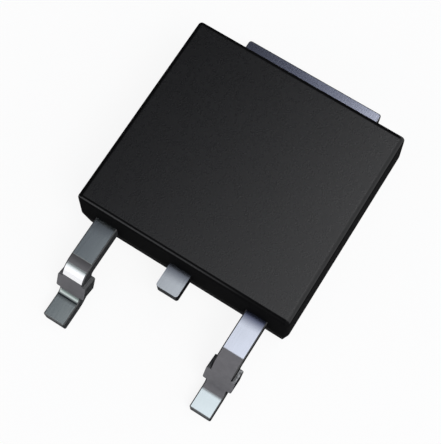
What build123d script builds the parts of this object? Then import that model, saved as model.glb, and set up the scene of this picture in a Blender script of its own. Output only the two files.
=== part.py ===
"""Surface-mount power MOSFET in a three-lead moulded package of the TO-252 (DPAK) kind.

A stamped and formed copper leadframe carries a silicon die. Epoxy is moulded round it and leaves
open the drain paddle's underside, its tab at the back, and three leads at the front: two formed
gull-wing leads, and a trimmed stub that is one piece with the paddle.

Millimetres. +Z is up from the solder pads, the leads point along -Y and the tab along +Y. The
origin is on the seating plane, under the middle of the whole outline.
"""

from build123d import *

import os
from math import cos, radians, sin, tan

# Moulded body
body_width = 6.41  # across the parting line
body_depth = 5.97  # front to back, across the parting line
body_top = 2.38  # flat top above the seating plane
body_standoff = 0.03  # moulded underside above the seating plane
upper_draft = 2.7  # degrees, in the mould half above the leads
lower_draft = 7.0  # degrees, in the half below them, which has to let go of the paddle
body_corner_radius = 0.15  # upright corners, at the parting line
top_edge_radius = 0.14
bottom_edge_radius = 0.06

# Leadframe strip, shared by the three leads
lead_thickness = 0.46
lead_width = 0.645
lead_pitch = 2.286  # from one lead's centre to the next
lead_underside = 1.15  # where the leads leave the body, which is where the mould parts
strip_edge_break = 0.03  # the plated strip's long edges, worn off flat

# Gull-wing forming of the outer leads
lead_reach = 2.71  # front of the body to the tip
bend_reach = 1.35  # front of the body to the first bend's corner, along the strip's middle
drop_angle = 68.0  # degrees below level
upper_bend_radius = 0.10  # inside of the first bend
lower_bend_radius = 0.18  # inside of the second bend

# Dam-bar shoulders, left on the outer leads when the bar is punched away
shoulder_width = 0.86
shoulder_length = 0.55
shoulder_corner_radius = 0.05

# Bond posts, the outer leads' inner ends
post_setback = 0.38  # front of the body to a post
post_depth = 0.90
gate_post_width = 1.20
post_stub_gap = 0.45  # between the source post and the stub
post_overhang = 0.12  # how far a post reaches outwards past its lead
post_corner_radius = 0.12

# Drain paddle, tab and stub
tab_thickness = 0.508
tab_width = 4.31
tab_protrusion = 0.95  # back of the body to the tab's end
tab_corner_radius = 0.08
pad_setback = 1.78  # front of the body to the solderable underside
flange_overhang = 0.30  # coined lip that locks the paddle into the mould
flange_thickness = 0.25
flange_setback = 0.55  # back of the body to the lip
stub_reach = 0.675  # front of the body to the trimmed end
stub_corner_radius = 0.07
joggle_angle = 50.0  # degrees, where the stub rises from the paddle
joggle_bend_radius = 0.15  # inside of both its bends

# Die and its joint
die_width = 3.20
die_depth = 2.50
die_thickness = 0.22
die_setback = 0.50  # pad's front edge to the die
solder_thickness = 0.04
solder_margin = 0.10

# Ultrasonic wedge bonds of aluminium wire
source_wire_diameter = 0.38
gate_wire_diameter = 0.13
source_wire_spacing = 0.85
wire_foot_ratio = 1.6  # a foot's length, in wire diameters
wire_foot_inset = 0.08  # a foot on a post to the post's inner edge
wire_flattening = 0.15  # share of the diameter pressed flat at a foot
wire_bend_ratio = 1.1  # centre-line bend radius, in wire diameters
wire_rise_angle = 18.0  # degrees, where a wire leaves its post
source_loop_height = 0.13  # rise of the wire's centre over its foot on the post
gate_loop_height = 0.09
gate_pad_inset = 0.40  # die's edges to the middle of its gate pad

# Places worked out from the sizes above
overall_length = lead_reach + body_depth + tab_protrusion
front_y = lead_reach - overall_length / 2
back_y = front_y + body_depth
body_center_y = (front_y + back_y) / 2
tab_end_y = back_y + tab_protrusion
pad_front_y = front_y + pad_setback
lead_middle = lead_underside + lead_thickness / 2
lead_top = lead_underside + lead_thickness
solder_base = tab_thickness
die_base = solder_base + solder_thickness
die_top = die_base + die_thickness
die_front_y = pad_front_y + die_setback
die_center_y = die_front_y + die_depth / 2
post_back_y = front_y + post_setback + post_depth
post_center_y = post_back_y - post_depth / 2
post_outer_x = lead_pitch + lead_width / 2 + post_overhang
source_post_width = post_outer_x - lead_width / 2 - post_stub_gap


os.makedirs("parts", exist_ok=True)


def finish(builder, name):
    """Names a finished piece and writes it as a STEP file."""
    builder.part.label = name
    export_step(builder.part, f"parts/{name}.step")


def bent_strip(middle_line, inside_radii, center_x):
    """Adds a strip of lead along its middle line, given as (y, z), with its bends' inside radii."""
    with BuildSketch(Plane.YZ.offset(center_x - lead_width / 2)) as side_view:
        with BuildLine():
            FilletPolyline(*middle_line, radius=[inside + lead_thickness / 2 for inside in inside_radii])
        trace(line_width=lead_thickness)
    extrude(side_view.sketch, amount=lead_width)


def gull_wing(center_x):
    """Adds one outer lead's formed strip and its dam-bar shoulders."""
    slope = radians(drop_angle)
    upper_corner = Vector(0, front_y - bend_reach, lead_middle)
    lower_corner = upper_corner - Vector(0, lead_underside / tan(slope), lead_underside)
    bent_strip(
        [
            (post_center_y, lead_middle),
            (upper_corner.Y, upper_corner.Z),
            (lower_corner.Y, lower_corner.Z),
            (front_y - lead_reach, lower_corner.Z),
        ],
        [upper_bend_radius, lower_bend_radius],
        center_x,
    )
    chamfer(faces().filter_by(Axis.X).edges(), strip_edge_break)

    downhill = Vector(0, -cos(slope), -sin(slope))
    outward = Vector(0, -sin(slope), cos(slope))
    upper_tangent = (upper_bend_radius + lead_thickness / 2) * tan(slope / 2)
    lower_tangent = (lower_bend_radius + lead_thickness / 2) * tan(slope / 2)
    straight_start = upper_corner + downhill * upper_tangent
    straight_end = lower_corner - downhill * lower_tangent
    shoulder_plane = Plane(
        origin=(straight_start + straight_end) / 2, x_dir=(1, 0, 0), z_dir=outward
    )
    with BuildSketch(shoulder_plane) as shoulders:
        with Locations((center_x, 0)):
            RectangleRounded(shoulder_width, shoulder_length, shoulder_corner_radius)
    extrude(shoulders.sketch, amount=lead_thickness / 2, both=True)


def bond_post(side, width):
    """Adds the wide inner end of an outer lead; side is -1 for the gate and +1 for the source."""
    with BuildSketch(Plane.XY.offset(lead_underside)) as outline:
        with Locations((side * (post_outer_x - width / 2), post_center_y)):
            RectangleRounded(width, post_depth, post_corner_radius)
    extrude(outline.sketch, amount=lead_thickness)


def foot_on_post(center_x, diameter):
    """Gives the middle of a wire's foot on a post, close to the post's inner edge."""
    foot_y = post_back_y - wire_foot_inset - diameter * wire_foot_ratio / 2
    return Vector(center_x, foot_y, lead_top)


def bond_wire(start, end, diameter, loop_height):
    """Adds a wedge-bonded wire, from its foot on a post to its foot on the die.

    start and end are the feet's middles on the two surfaces. The wire lies flat along each foot,
    rises from the post to a low crest, and runs straight down from there to the die.
    """
    foot_rise = Vector(0, 0, diameter / 2 - diameter * wire_flattening)
    first, last = start + foot_rise, end + foot_rise
    along = Vector(last.X - first.X, last.Y - first.Y, 0).normalized()
    half_foot = along * (diameter * wire_foot_ratio / 2)
    rise_start = first + half_foot
    crest_run = loop_height / tan(radians(wire_rise_angle))
    with BuildLine() as route:
        FilletPolyline(
            first - half_foot,
            rise_start,
            rise_start + along * crest_run + Vector(0, 0, loop_height),
            last - half_foot,
            last + half_foot,
            radius=diameter * wire_bend_ratio,
        )
    with BuildSketch(Plane(origin=route.line @ 0, z_dir=route.line % 0)) as section:
        Circle(diameter / 2)
    sweep(section.sketch, path=route.wires()[0])


# Outer leads
with BuildPart() as gate_lead:
    gull_wing(-lead_pitch)
    bond_post(-1, gate_post_width)
finish(gate_lead, "gate_lead")

with BuildPart() as source_lead:
    gull_wing(lead_pitch)
    bond_post(1, source_post_width)
finish(source_lead, "source_lead")

# Drain paddle: die pad, tab, locking lip and the stub that rises from it, in one piece of strip
with BuildPart() as drain_paddle:
    with BuildSketch():
        with Locations((0, (pad_front_y + tab_end_y) / 2)):
            Rectangle(tab_width, tab_end_y - pad_front_y)
    extrude(amount=tab_thickness)
    tab_corners = drain_paddle.edges().filter_by(Axis.Z).group_by(Axis.Y)[-1]
    fillet(tab_corners, tab_corner_radius)
    chamfer(drain_paddle.faces().sort_by(Axis.Z)[-1].edges(), strip_edge_break)

    lip_front_y = pad_front_y - flange_overhang
    lip_back_y = back_y - flange_setback
    with BuildSketch(Plane.XY.offset(tab_thickness - flange_thickness)):
        with Locations((0, (lip_front_y + lip_back_y) / 2)):
            Rectangle(tab_width + 2 * flange_overhang, lip_back_y - lip_front_y)
    extrude(amount=flange_thickness)

    joggle = radians(joggle_angle)
    joggle_corner_y = pad_front_y - (joggle_bend_radius + lead_thickness / 2) * tan(joggle / 2)
    bent_strip(
        [
            ((pad_front_y + die_front_y - solder_margin) / 2, lead_thickness / 2),
            (joggle_corner_y, lead_thickness / 2),
            (joggle_corner_y - lead_underside / tan(joggle), lead_middle),
            (front_y - stub_reach, lead_middle),
        ],
        [joggle_bend_radius, joggle_bend_radius],
        0,
    )
    stub_corners = drain_paddle.edges().filter_by(Axis.Z).group_by(Axis.Y)[0]
    fillet(stub_corners, stub_corner_radius)
finish(drain_paddle, "drain_paddle")

# Die and the solder that joins it to the paddle
with BuildPart() as die_attach_solder:
    with BuildSketch(Plane.XY.offset(solder_base)):
        with Locations((0, die_center_y)):
            Rectangle(die_width + 2 * solder_margin, die_depth + 2 * solder_margin)
    extrude(amount=solder_thickness)
finish(die_attach_solder, "die_attach_solder")

with BuildPart() as silicon_die:
    with BuildSketch(Plane.XY.offset(die_base)):
        with Locations((0, die_center_y)):
            Rectangle(die_width, die_depth)
    extrude(amount=die_thickness)
finish(silicon_die, "silicon_die")

# Bond wires: one fine wire to the gate pad, two thick ones to the source metal
with BuildPart() as gate_bond_wire:
    gate_pad = Vector(gate_pad_inset - die_width / 2, die_front_y + gate_pad_inset, die_top)
    gate_post = foot_on_post(gate_post_width / 2 - post_outer_x, gate_wire_diameter)
    bond_wire(gate_post, gate_pad, gate_wire_diameter, gate_loop_height)
    add(gate_lead.part, mode=Mode.SUBTRACT)
    add(silicon_die.part, mode=Mode.SUBTRACT)
finish(gate_bond_wire, "gate_bond_wire")

source_post_x = post_outer_x - source_post_width / 2
source_pad_x = die_width / 4
source_wires = []
for number, step in enumerate((-0.5, 0.5), start=1):
    offset_x = step * source_wire_spacing
    with BuildPart() as source_bond_wire:
        bond_wire(
            foot_on_post(source_post_x + offset_x, source_wire_diameter),
            Vector(source_pad_x + offset_x, die_center_y, die_top),
            source_wire_diameter,
            source_loop_height,
        )
        add(source_lead.part, mode=Mode.SUBTRACT)
        add(silicon_die.part, mode=Mode.SUBTRACT)
    finish(source_bond_wire, f"source_bond_wire_{number}")
    source_wires.append(source_bond_wire.part)

# Moulded body, filled round everything inside it
with BuildPart() as mold_body:
    with BuildSketch(Plane.XY.offset(lead_underside)) as parting_outline:
        with Locations((0, body_center_y)):
            RectangleRounded(body_width, body_depth, body_corner_radius)
    extrude(amount=body_top - lead_underside, taper=upper_draft)
    fillet(mold_body.faces().sort_by(Axis.Z)[-1].edges(), top_edge_radius)
    extrude(parting_outline.sketch, amount=body_standoff - lead_underside, taper=lower_draft)
    fillet(mold_body.faces().sort_by(Axis.Z)[0].edges(), bottom_edge_radius)
    for inner in (drain_paddle, gate_lead, source_lead, die_attach_solder, silicon_die, gate_bond_wire):
        add(inner.part, mode=Mode.SUBTRACT)
    add(source_wires, mode=Mode.SUBTRACT)
finish(mold_body, "mold_body")
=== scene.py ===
"""Looks of a surface-mount power MOSFET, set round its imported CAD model.

The moulded body, the leadframe and the pieces sealed inside are shown as modelled, each in its own
procedural material. The scene is in metres, in the model's own frame: +Z up, leads towards -Y, tab
towards +Y. The materials work in millimetres, in the same frame.
"""

import math

import bpy
from mathutils import Matrix, Vector


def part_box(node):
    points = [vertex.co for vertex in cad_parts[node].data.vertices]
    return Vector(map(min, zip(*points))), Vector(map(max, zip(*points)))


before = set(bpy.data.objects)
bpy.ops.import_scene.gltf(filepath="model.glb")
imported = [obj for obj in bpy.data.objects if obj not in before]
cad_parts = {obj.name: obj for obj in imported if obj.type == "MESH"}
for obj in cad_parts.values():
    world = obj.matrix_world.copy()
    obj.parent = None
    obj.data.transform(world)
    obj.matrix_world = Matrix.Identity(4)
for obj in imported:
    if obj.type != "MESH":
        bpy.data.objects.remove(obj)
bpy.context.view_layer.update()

MM = 0.001
WHITE = (1, 1, 1, 1)

# Camera, at the reference view's angle
VIEW_AZIMUTH = 32.414
VIEW_ELEVATION = 73.471
VIEW_ROLL = 0.138
VIEW_DISTANCE = 28.438 * MM
VIEW_TARGET = Vector((0.1237, -0.3769, 1.200)) * MM
LENS = 87.588

# Studio
LAMP_DISTANCE = 0.2
STUDIO_DIMNESS = 0.015  # level of the world away from its lights and walls
FLOOR_REACH = 4.0
FLOOR_LEVEL = -0.005 * MM  # just under the seating plane, so that it doesn't coincide with the pads
FLOOR_WHITENESS = 0.88  # share of plain white in the floor, as seen directly and in reflections

# Colours
EPOXY = (0.0042, 0.0042, 0.0044, 1)
# Painted highlight on the convex bend, and dull stretched tin painted dark as shade
BEND_HIGHLIGHT_TIN = (0.93, 0.93, 0.95, 1)
STRETCHED_TIN_AND_SHADE = (0.125, 0.122, 0.129, 1)
SHEARED_METAL = (1.0, 1.03, 1.06, 1)  # shaded to far less than this wherever it shows
SCRIBED_SILICON = (0.060, 0.070, 0.090, 1)
CONTACT_METAL = (0.66, 0.66, 0.68, 1)

TORN_NOWHERE = 9.0  # a place across, in millimetres, that is outside the part


def link_object(name, data):
    """Makes an object for the data and puts it in the scene."""
    obj = bpy.data.objects.new(name, data)
    bpy.context.scene.collection.objects.link(obj)
    return obj


def direction(azimuth, elevation):
    """Gives the unit vector at these angles in degrees, with azimuth 0 at -Y and 90 at +X."""
    a, e = math.radians(azimuth), math.radians(elevation)
    return Vector((math.sin(a) * math.cos(e), -math.cos(a) * math.cos(e), math.sin(e)))


def aim(obj, place, target, roll=0.0):
    """Puts an object at a place with its -Z towards the target, rolled clockwise in degrees."""
    back = (place - target).normalized()
    right = Vector((0, 0, 1)).cross(back).normalized()
    up = back.cross(right)
    turn = Matrix((right, up, back)).transposed() @ Matrix.Rotation(math.radians(-roll), 3, "Z")
    obj.matrix_world = Matrix.Translation(place) @ turn.to_4x4()


# ---------------------------------------------------------------- node graphs
class Graph:
    """Adds nodes to a tree and links them."""

    def __init__(self, tree):
        self.tree = tree

    def add(self, kind, **settings):
        """Adds a node with these settings."""
        node = self.tree.nodes.new(kind)
        for key, value in settings.items():
            setattr(node, key, value)
        return node

    def feed(self, socket, value):
        """Links an output to the socket, or sets the socket to a plain value."""
        if isinstance(value, bpy.types.NodeSocket):
            self.tree.links.new(value, socket)
        else:
            socket.default_value = value

    def math(self, operation, a, b=0.0):
        """Gives what a maths operation makes of one or two values."""
        node = self.add("ShaderNodeMath", operation=operation)
        self.feed(node.inputs[0], a)
        self.feed(node.inputs[1], b)
        return node.outputs[0]

    def times(self, product, *others):
        """Multiplies the values."""
        for other in others:
            product = self.math("MULTIPLY", product, other)
        return product

    def most(self, largest, *others):
        """Gives the largest of the values."""
        for other in others:
            largest = self.math("MAXIMUM", largest, other)
        return largest

    def unsigned(self, value):
        """Gives the value without its sign."""
        return self.math("ABSOLUTE", value)

    def parts(self, vector):
        """Splits a vector into its three parts."""
        node = self.add("ShaderNodeSeparateXYZ")
        self.feed(node.inputs[0], vector)
        return node.outputs

    def scaled(self, vector, factors):
        """Multiplies a vector part by part."""
        node = self.add("ShaderNodeVectorMath", operation="MULTIPLY")
        self.feed(node.inputs[0], vector)
        self.feed(node.inputs[1], factors)
        return node.outputs[0]

    def ease(self, value, low, high, at_low=0.0, at_high=1.0):
        """Goes smoothly from at_low to at_high while the value goes from low to high."""
        node = self.add("ShaderNodeMapRange", interpolation_type="SMOOTHSTEP")
        sockets = ("Value", "From Min", "From Max", "To Min", "To Max")
        for socket, number in zip(sockets, (value, low, high, at_low, at_high)):
            self.feed(node.inputs[socket], number)
        return node.outputs[0]

    def fade(self, value, low, high):
        """Goes smoothly from 1 to 0 while the value goes from low to high."""
        return self.ease(value, low, high, 1.0, 0.0)

    def between(self, share, at_none, at_all):
        """Goes smoothly from at_none to at_all while the share goes from 0 to 1."""
        return self.ease(share, 0.0, 1.0, at_none, at_all)

    def blend(self, share, a, b, mode="MIX"):
        """Mixes two colours."""
        node = self.add("ShaderNodeMix", data_type="RGBA", blend_type=mode)
        for key, value in (("Factor_Float", share), ("A_Color", a), ("B_Color", b)):
            self.feed(next(s for s in node.inputs if s.identifier == key), value)
        return next(s for s in node.outputs if s.identifier == "Result_Color")

    def shaded(self, colour, level):
        """Multiplies a colour by a level."""
        grey = self.add("ShaderNodeCombineColor")
        for socket in grey.inputs:
            self.feed(socket, level)
        return self.blend(1.0, colour, grey.outputs[0], "MULTIPLY")

    def noise(self, vector, scale, detail=2.0, low=0.0, high=1.0):
        """Gives noise with this many features to a millimetre, spread from low to high."""
        node = self.add("ShaderNodeTexNoise")
        self.feed(node.inputs["Vector"], vector)
        node.inputs["Scale"].default_value = scale
        node.inputs["Detail"].default_value = detail
        return self.ease(node.outputs[0], 0.3, 0.7, low, high)


class Surface(Graph):
    """A material's graph round its shader, with the place in millimetres and the way it faces."""

    def __init__(self, name):
        self.material = bpy.data.materials.new(name)
        self.material.use_nodes = True
        super().__init__(self.material.node_tree)
        self.shader = self.tree.nodes["Principled BSDF"]
        coordinates = self.add("ShaderNodeTexCoord")
        self.place = self.scaled(coordinates.outputs["Object"], (1 / MM,) * 3)
        self.facing = coordinates.outputs["Normal"]

    def set(self, **values):
        """Feeds the shader's sockets, named with _ for each space."""
        for key, value in values.items():
            self.feed(self.shader.inputs[key.replace("_", " ")], value)

    def head_on(self, level):
        """Gives the level where the surface is met head on, fading to nothing at a low angle."""
        weight = self.add("ShaderNodeLayerWeight")
        weight.inputs["Blend"].default_value = 0.5
        return self.ease(weight.outputs["Facing"], 0.25, 0.6, level, 0.0)

    def bump(self, height, depth):
        """Raises the surface by the height times the depth in millimetres."""
        node = self.add("ShaderNodeBump")
        node.inputs["Strength"].default_value = 1.0
        node.inputs["Distance"].default_value = depth * MM
        self.feed(node.inputs["Height"], height)
        self.feed(self.shader.inputs["Normal"], node.outputs[0])


# ---------------------------------------------------------------- materials
def mould_compound():
    """Filled black epoxy with a fine grain.

    It is satin on its flat top and underside and along the top's front and right edges. Its drafted
    walls scatter light dully, and shine a little only where they are met head on.
    """
    s = Surface("mould_compound")
    across, along, up = s.parts(s.facing)
    x = s.parts(s.place)[0]

    flat = s.ease(s.unsigned(up), 0.985, 0.998, 0.014, 1.0)
    front_edge = s.times(
        s.fade(along, -0.55, -0.40),
        s.ease(up, 0.62, 0.74),
        s.ease(x, 0.4, 2.2, 1.0, 0.1),
    )
    right_edge = s.times(
        s.ease(across, 0.05, 0.10, 0.0, 0.7),
        s.ease(up, 0.45, 0.60),
        s.ease(along, -0.35, -0.05, 0.1, 1.0),
    )
    sheen = s.most(flat, front_edge, right_edge)
    wall_sheen = s.times(s.fade(up, 0.2, 0.4), s.head_on(0.9))

    cloud = s.noise(s.place, 0.7, 2.0, 0.95, 1.05)
    speck = s.noise(s.place, 34.0, 1.0, 0.8, 1.2)
    unevenness = s.noise(s.place, 9.0, 2.0, -0.015, 0.015)
    s.set(
        Base_Color=s.shaded(EPOXY, s.times(cloud, speck)),
        Roughness=s.math("ADD", s.between(sheen, 0.9, 0.28), unevenness),
        Specular_IOR_Level=s.times(s.most(sheen, wall_sheen), 0.54),
    )
    s.bump(s.noise(s.place, 24.0, 3.0), 0.0007)
    return s.material


def plated_leadframe(
    name,
    face_colour,
    foot_colour,
    root_shade_colour,
    side_level,
    end_level,
    dull_tilts=(0.90, 0.925),
    shaded_to_foot=0.0,
    torn_from=TORN_NOWHERE,
):
    """Tin-plated copper strip.

    Its faces are bright, in face_colour, or in foot_colour low down, and each strip's own tints
    are painted reflections. The root colour paints shade on them where a lead leaves the body, the
    heel at the foot's inner end has painted shade, and the convex bend is painted pale as a
    highlight. Where forming stretched the tin, at the start of the upper bend and past the
    forward tilts in dull_tilts, it is dull and painted dark as shade. A flag of 1 after
    dull_tilts carries this dull, dark painting down to the foot. The sheared sides and the cut
    ends have no tin, and their bare metal is painted as dark as shade, to side_level and
    end_level. Where a stump of the dam bar is cut at its rear, further across than torn_from, it
    is torn and paler.
    """
    s = Surface(name)
    across, along, up = s.parts(s.facing)
    x, y, z = s.parts(s.place)
    tilt = s.times(along, -1.0)
    sideways = s.unsigned(across)
    body_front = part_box("mold_body")[0][1] / MM
    from_body = s.math("SUBTRACT", body_front, y)

    # Painted shade and highlight, and dull tin, by their places along a lead
    # Painted shade where a lead leaves the body
    painted_root_shade = s.times(s.fade(from_body, 0.04, 0.42), s.ease(from_body, -0.2, -0.1))
    # Dull tin painted dark as shade at the start of the upper bend
    knee = s.times(
        s.ease(from_body, 1.075, 1.115),
        s.ease(z, 1.2, 1.4),
        s.fade(tilt, 0.36, 0.46),
    )
    # Painted shade at the foot's inner end
    heel_shade = s.times(
        s.fade(from_body, 2.03, 2.19),
        s.ease(from_body, 1.5, 1.7),
        s.fade(tilt, 0.50, 0.68),
    )
    # Painted highlight on the convex bend
    bend_highlight = s.times(s.ease(tilt, 0.42, 0.65), s.ease(z, 0.7, 0.9))
    # Dull tin painted dark as shade past the forward tilts
    slope = s.times(s.ease(tilt, *dull_tilts), s.ease(z, 0.59, 0.63, shaded_to_foot, 1.0))
    dull = s.most(slope, knee, s.times(heel_shade, shaded_to_foot))

    # Bright tin, with painted shade at the root and heel and a painted highlight on the bend
    face = s.blend(s.ease(z, 0.5, 0.9), foot_colour, face_colour)
    face = s.shaded(face, s.noise(s.place, 1.3, 3.0, 0.98, 1.04))
    face = s.blend(painted_root_shade, face, s.blend(1.0, face, root_shade_colour, "MULTIPLY"))
    face = s.shaded(face, s.between(heel_shade, 1.0, 0.45))
    face = s.blend(bend_highlight, face, BEND_HIGHLIGHT_TIN)

    # Stretched tin, painted dark as shade; darker where it hardly tilts, unless painted to the foot
    tilt_shade = s.ease(s.math("ADD", tilt, shaded_to_foot), 0.0, 0.4, 0.45, 1.0 + 0.12 * shaded_to_foot)
    stretched_and_shaded = s.shaded(STRETCHED_TIN_AND_SHADE, s.noise(s.place, 8.0, 3.0, 0.95, 1.05))
    stretched_and_shaded = s.shaded(stretched_and_shaded, tilt_shade)

    # Bare metal on the sheared sides and the cut ends, painted dark as shade
    shear_marks = s.noise(s.scaled(s.place, (1.0, 1.0, 0.15)), 24.0, 3.0, 0.75, 1.25)
    side_shade = s.ease(sideways, 0.3, 0.6, end_level, side_level)
    torn = s.times(
        s.ease(x, torn_from, torn_from + 0.1),
        s.ease(along, 0.25, 0.35),
        s.noise(s.place, 9.0, 3.0, 0.04, 0.42),
    )
    sheared_and_shaded = s.shaded(SHEARED_METAL, s.most(s.times(side_shade, shear_marks), torn))
    side = s.most(
        s.ease(sideways, 0.4, 0.6),
        s.fade(s.unsigned(up), 0.12, 0.3),
        s.ease(along, 0.2, 0.3),
        s.ease(from_body, 2.665, 2.685),
    )

    plain = s.times(s.between(dull, 1.0, 0.25), s.between(side, 1.0, 0.0))
    s.set(
        Base_Color=s.blend(side, s.blend(dull, face, stretched_and_shaded), sheared_and_shaded),
        Metallic=plain,
        Roughness=s.between(plain, s.between(side, 0.8, 0.7), 0.17),
        Specular_IOR_Level=s.between(side, 0.5, s.head_on(0.95)),
    )
    rolled = s.noise(s.scaled(s.place, (1.0, 0.06, 1.0)), 30.0, 3.0)
    crystals = s.noise(s.place, 26.0, 2.0)
    s.bump(s.math("ADD", rolled, crystals), 0.00010)
    return s.material


def silicon():
    """The die: aluminium contact metal on top inside a dark scribe border, and polished sides."""
    s = Surface("silicon")
    place, up = s.parts(s.place), s.parts(s.facing)[2]
    low, high = (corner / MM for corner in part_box("silicon_die"))
    half, middle = (high - low) / 2, (high + low) / 2
    inward = [
        s.math("SUBTRACT", half[i], s.unsigned(s.math("SUBTRACT", place[i], middle[i])))
        for i in range(2)
    ]
    metal = s.times(s.ease(s.math("MINIMUM", *inward), 0.10, 0.115), s.ease(up, 0.8, 0.95))
    cells = s.noise(s.scaled(s.place, (1.0, 12.0, 1.0)), 6.0, 1.0, 0.85, 1.1)
    s.set(
        Base_Color=s.shaded(s.blend(metal, SCRIBED_SILICON, CONTACT_METAL), cells),
        Metallic=s.between(metal, 0.35, 1.0),
        Roughness=s.noise(s.place, 5.0, 2.0, 0.12, 0.28),
    )
    s.bump(s.math("ADD", metal, s.times(cells, 0.2)), 0.003)
    return s.material


def solder():
    """Die-attach solder, dull and slightly crystalline."""
    s = Surface("solder")
    crystals = s.noise(s.place, 9.0, 4.0)
    s.set(
        Base_Color=s.blend(crystals, (0.36, 0.36, 0.38, 1), (0.54, 0.54, 0.56, 1)),
        Metallic=1.0,
        Roughness=s.noise(s.place, 4.0, 3.0, 0.35, 0.55),
    )
    s.bump(crystals, 0.003)
    return s.material


def bond_wire():
    """Drawn aluminium wire, with fine die lines along it."""
    s = Surface("bond_wire")
    lines = s.noise(s.scaled(s.place, (1.0, 0.05, 1.0)), 40.0, 2.0)
    s.set(
        Base_Color=s.blend(lines, (0.70, 0.70, 0.72, 1), (0.84, 0.84, 0.86, 1)),
        Metallic=1.0,
        Roughness=s.noise(s.place, 6.0, 2.0, 0.20, 0.34),
    )
    s.bump(lines, 0.0008)
    return s.material


# ---------------------------------------------------------------- studio
def make_camera():
    """Makes the camera and gives it to the scene."""
    data = bpy.data.cameras.new("view")
    data.lens = LENS
    data.clip_start = 1 * MM
    data.clip_end = 10.0
    camera = link_object("view", data)
    place = VIEW_TARGET + direction(VIEW_AZIMUTH, VIEW_ELEVATION) * VIEW_DISTANCE
    aim(camera, place, VIEW_TARGET, VIEW_ROLL)
    bpy.context.scene.camera = camera


def make_lamp(name, width, radiance, azimuth, elevation):
    """Makes a soft square lamp of this radiance, aimed at the part from these angles."""
    data = bpy.data.lights.new(name, "AREA")
    data.shape = "SQUARE"
    data.size = width
    data.energy = radiance * math.pi * width * width
    aim(link_object(name, data), direction(azimuth, elevation) * LAMP_DISTANCE, Vector())


def make_world():
    """Makes a dim studio, which the camera sees as plain white.

    A soft oval light hangs overhead. White walls stand up to mid height at the right and at the
    left of the front, and lower walls stand all round but at the front.
    """
    world = bpy.data.worlds.new("studio")
    bpy.context.scene.world = world
    world.use_nodes = True
    graph = Graph(world.node_tree)
    across, along, up = graph.parts(graph.add("ShaderNodeTexCoord").outputs["Generated"])

    oval = (graph.math("SUBTRACT", across, 0.05), graph.times(along, 0.66))
    from_middle = graph.math("SQRT", graph.math("ADD", *(graph.times(v, v) for v in oval)))
    overhead = graph.ease(from_middle, 0.12, 0.36, 1.3, STUDIO_DIMNESS)

    front_left = graph.times(
        graph.fade(along, -0.65, -0.2),
        graph.ease(across, -0.17, -0.08, 1.2, 0.03),
    )
    right = graph.ease(across, 0.2, 0.65, 0.04, 1.0)
    high_walls = graph.times(graph.fade(up, 0.52, 0.82), graph.most(front_left, right))
    low_walls = graph.times(graph.ease(up, 0.2, 0.5, 0.8, 0.0), graph.ease(along, -0.5, -0.2))
    level = graph.math("ADD", overhead, graph.most(high_walls, low_walls))

    colour = graph.blend(graph.ease(level, 0.0, 0.5), (0.75, 0.86, 1.35, 1), (0.98, 0.99, 1.02, 1))
    seen = graph.add("ShaderNodeLightPath").outputs["Is Camera Ray"]
    background = world.node_tree.nodes["Background"]
    background.inputs["Strength"].default_value = 1.0
    graph.feed(background.inputs["Color"], graph.blend(seen, graph.shaded(colour, level), WHITE))


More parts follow.
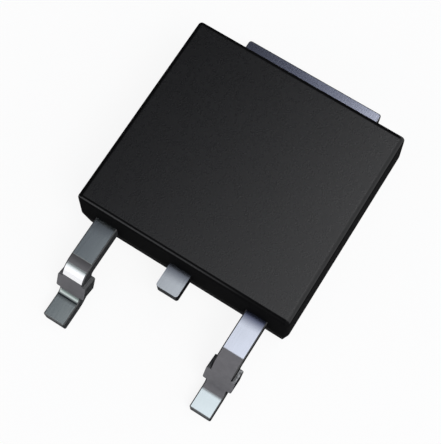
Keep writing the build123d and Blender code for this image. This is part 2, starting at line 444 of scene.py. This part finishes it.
def make_floor():
    """Lays the pale floor.

    It shows as white apart from the part's own soft shadow, and it doesn't show from below.
    """
    mesh = bpy.data.meshes.new("floor")
    signs = ((-1, -1), (1, -1), (1, 1), (-1, 1))
    corners = [(x * FLOOR_REACH, y * FLOOR_REACH, FLOOR_LEVEL) for x, y in signs]
    mesh.from_pydata(corners, [], [(0, 1, 2, 3)])

    s = Surface("floor")
    s.set(Base_Color=(0.9, 0.9, 0.9, 1), Roughness=1.0, Specular_IOR_Level=0.0)
    path = s.add("ShaderNodeLightPath").outputs
    rays = ("Is Camera Ray", "Is Glossy Ray", "Is Transmission Ray")
    from_above = s.add("ShaderNodeMixShader")
    s.feed(from_above.inputs[0], s.times(s.most(*(path[ray] for ray in rays)), FLOOR_WHITENESS))
    s.feed(from_above.inputs[1], s.shader.outputs[0])
    s.feed(from_above.inputs[2], s.add("ShaderNodeEmission").outputs[0])
    from_both = s.add("ShaderNodeMixShader")
    s.feed(from_both.inputs[0], s.add("ShaderNodeNewGeometry").outputs["Backfacing"])
    s.feed(from_both.inputs[1], from_above.outputs[0])
    s.feed(from_both.inputs[2], s.add("ShaderNodeBsdfTransparent").outputs[0])
    s.feed(s.tree.nodes["Material Output"].inputs["Surface"], from_both.outputs[0])
    mesh.materials.append(s.material)
    link_object("floor", mesh)


# ---------------------------------------------------------------- dressing
def show_with(material, *names):
    """Shows CAD nodes in a material."""
    for name in names:
        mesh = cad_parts[name].data
        mesh.materials.clear()
        mesh.materials.append(material)


make_camera()
make_world()
make_lamp("key", 0.11, 6.0, azimuth=65, elevation=62)
make_lamp("sheen", 0.08, 1.6, azimuth=157, elevation=63)
make_floor()

show_with(mould_compound(), "mold_body")
# Each strip's tints, root shade, dark sides and dull zones differ: painted reflections and shade of
# the same tin
gate_plating = plated_leadframe(
    "plated_gate_lead",
    face_colour=(0.52, 0.575, 0.56, 1),
    foot_colour=(0.47, 0.52, 0.50, 1),
    root_shade_colour=(0.62, 0.62, 0.64, 1),
    side_level=0.034,
    end_level=0.075,
)
source_plating = plated_leadframe(
    "plated_source_lead",
    face_colour=(0.60, 0.635, 0.72, 1),
    foot_colour=(0.59, 0.66, 0.68, 1),
    root_shade_colour=(0.14, 0.15, 0.21, 1),
    side_level=0.010,
    end_level=0.075,
    dull_tilts=(0.03, 0.10),
    shaded_to_foot=1.0,
    torn_from=2.55,
)
paddle_plating = plated_leadframe(
    "plated_paddle",
    face_colour=(0.60, 0.64, 0.675, 1),
    foot_colour=(0.53, 0.555, 0.66, 1),
    root_shade_colour=(0.32, 0.33, 0.37, 1),
    side_level=0.010,
    end_level=0.045,
)
show_with(gate_plating, "gate_lead")
show_with(source_plating, "source_lead")
show_with(paddle_plating, "drain_paddle")
show_with(silicon(), "silicon_die")
show_with(solder(), "die_attach_solder")
show_with(bond_wire(), "gate_bond_wire", "source_bond_wire_1", "source_bond_wire_2")

bpy.context.scene.view_settings.view_transform = "Standard"
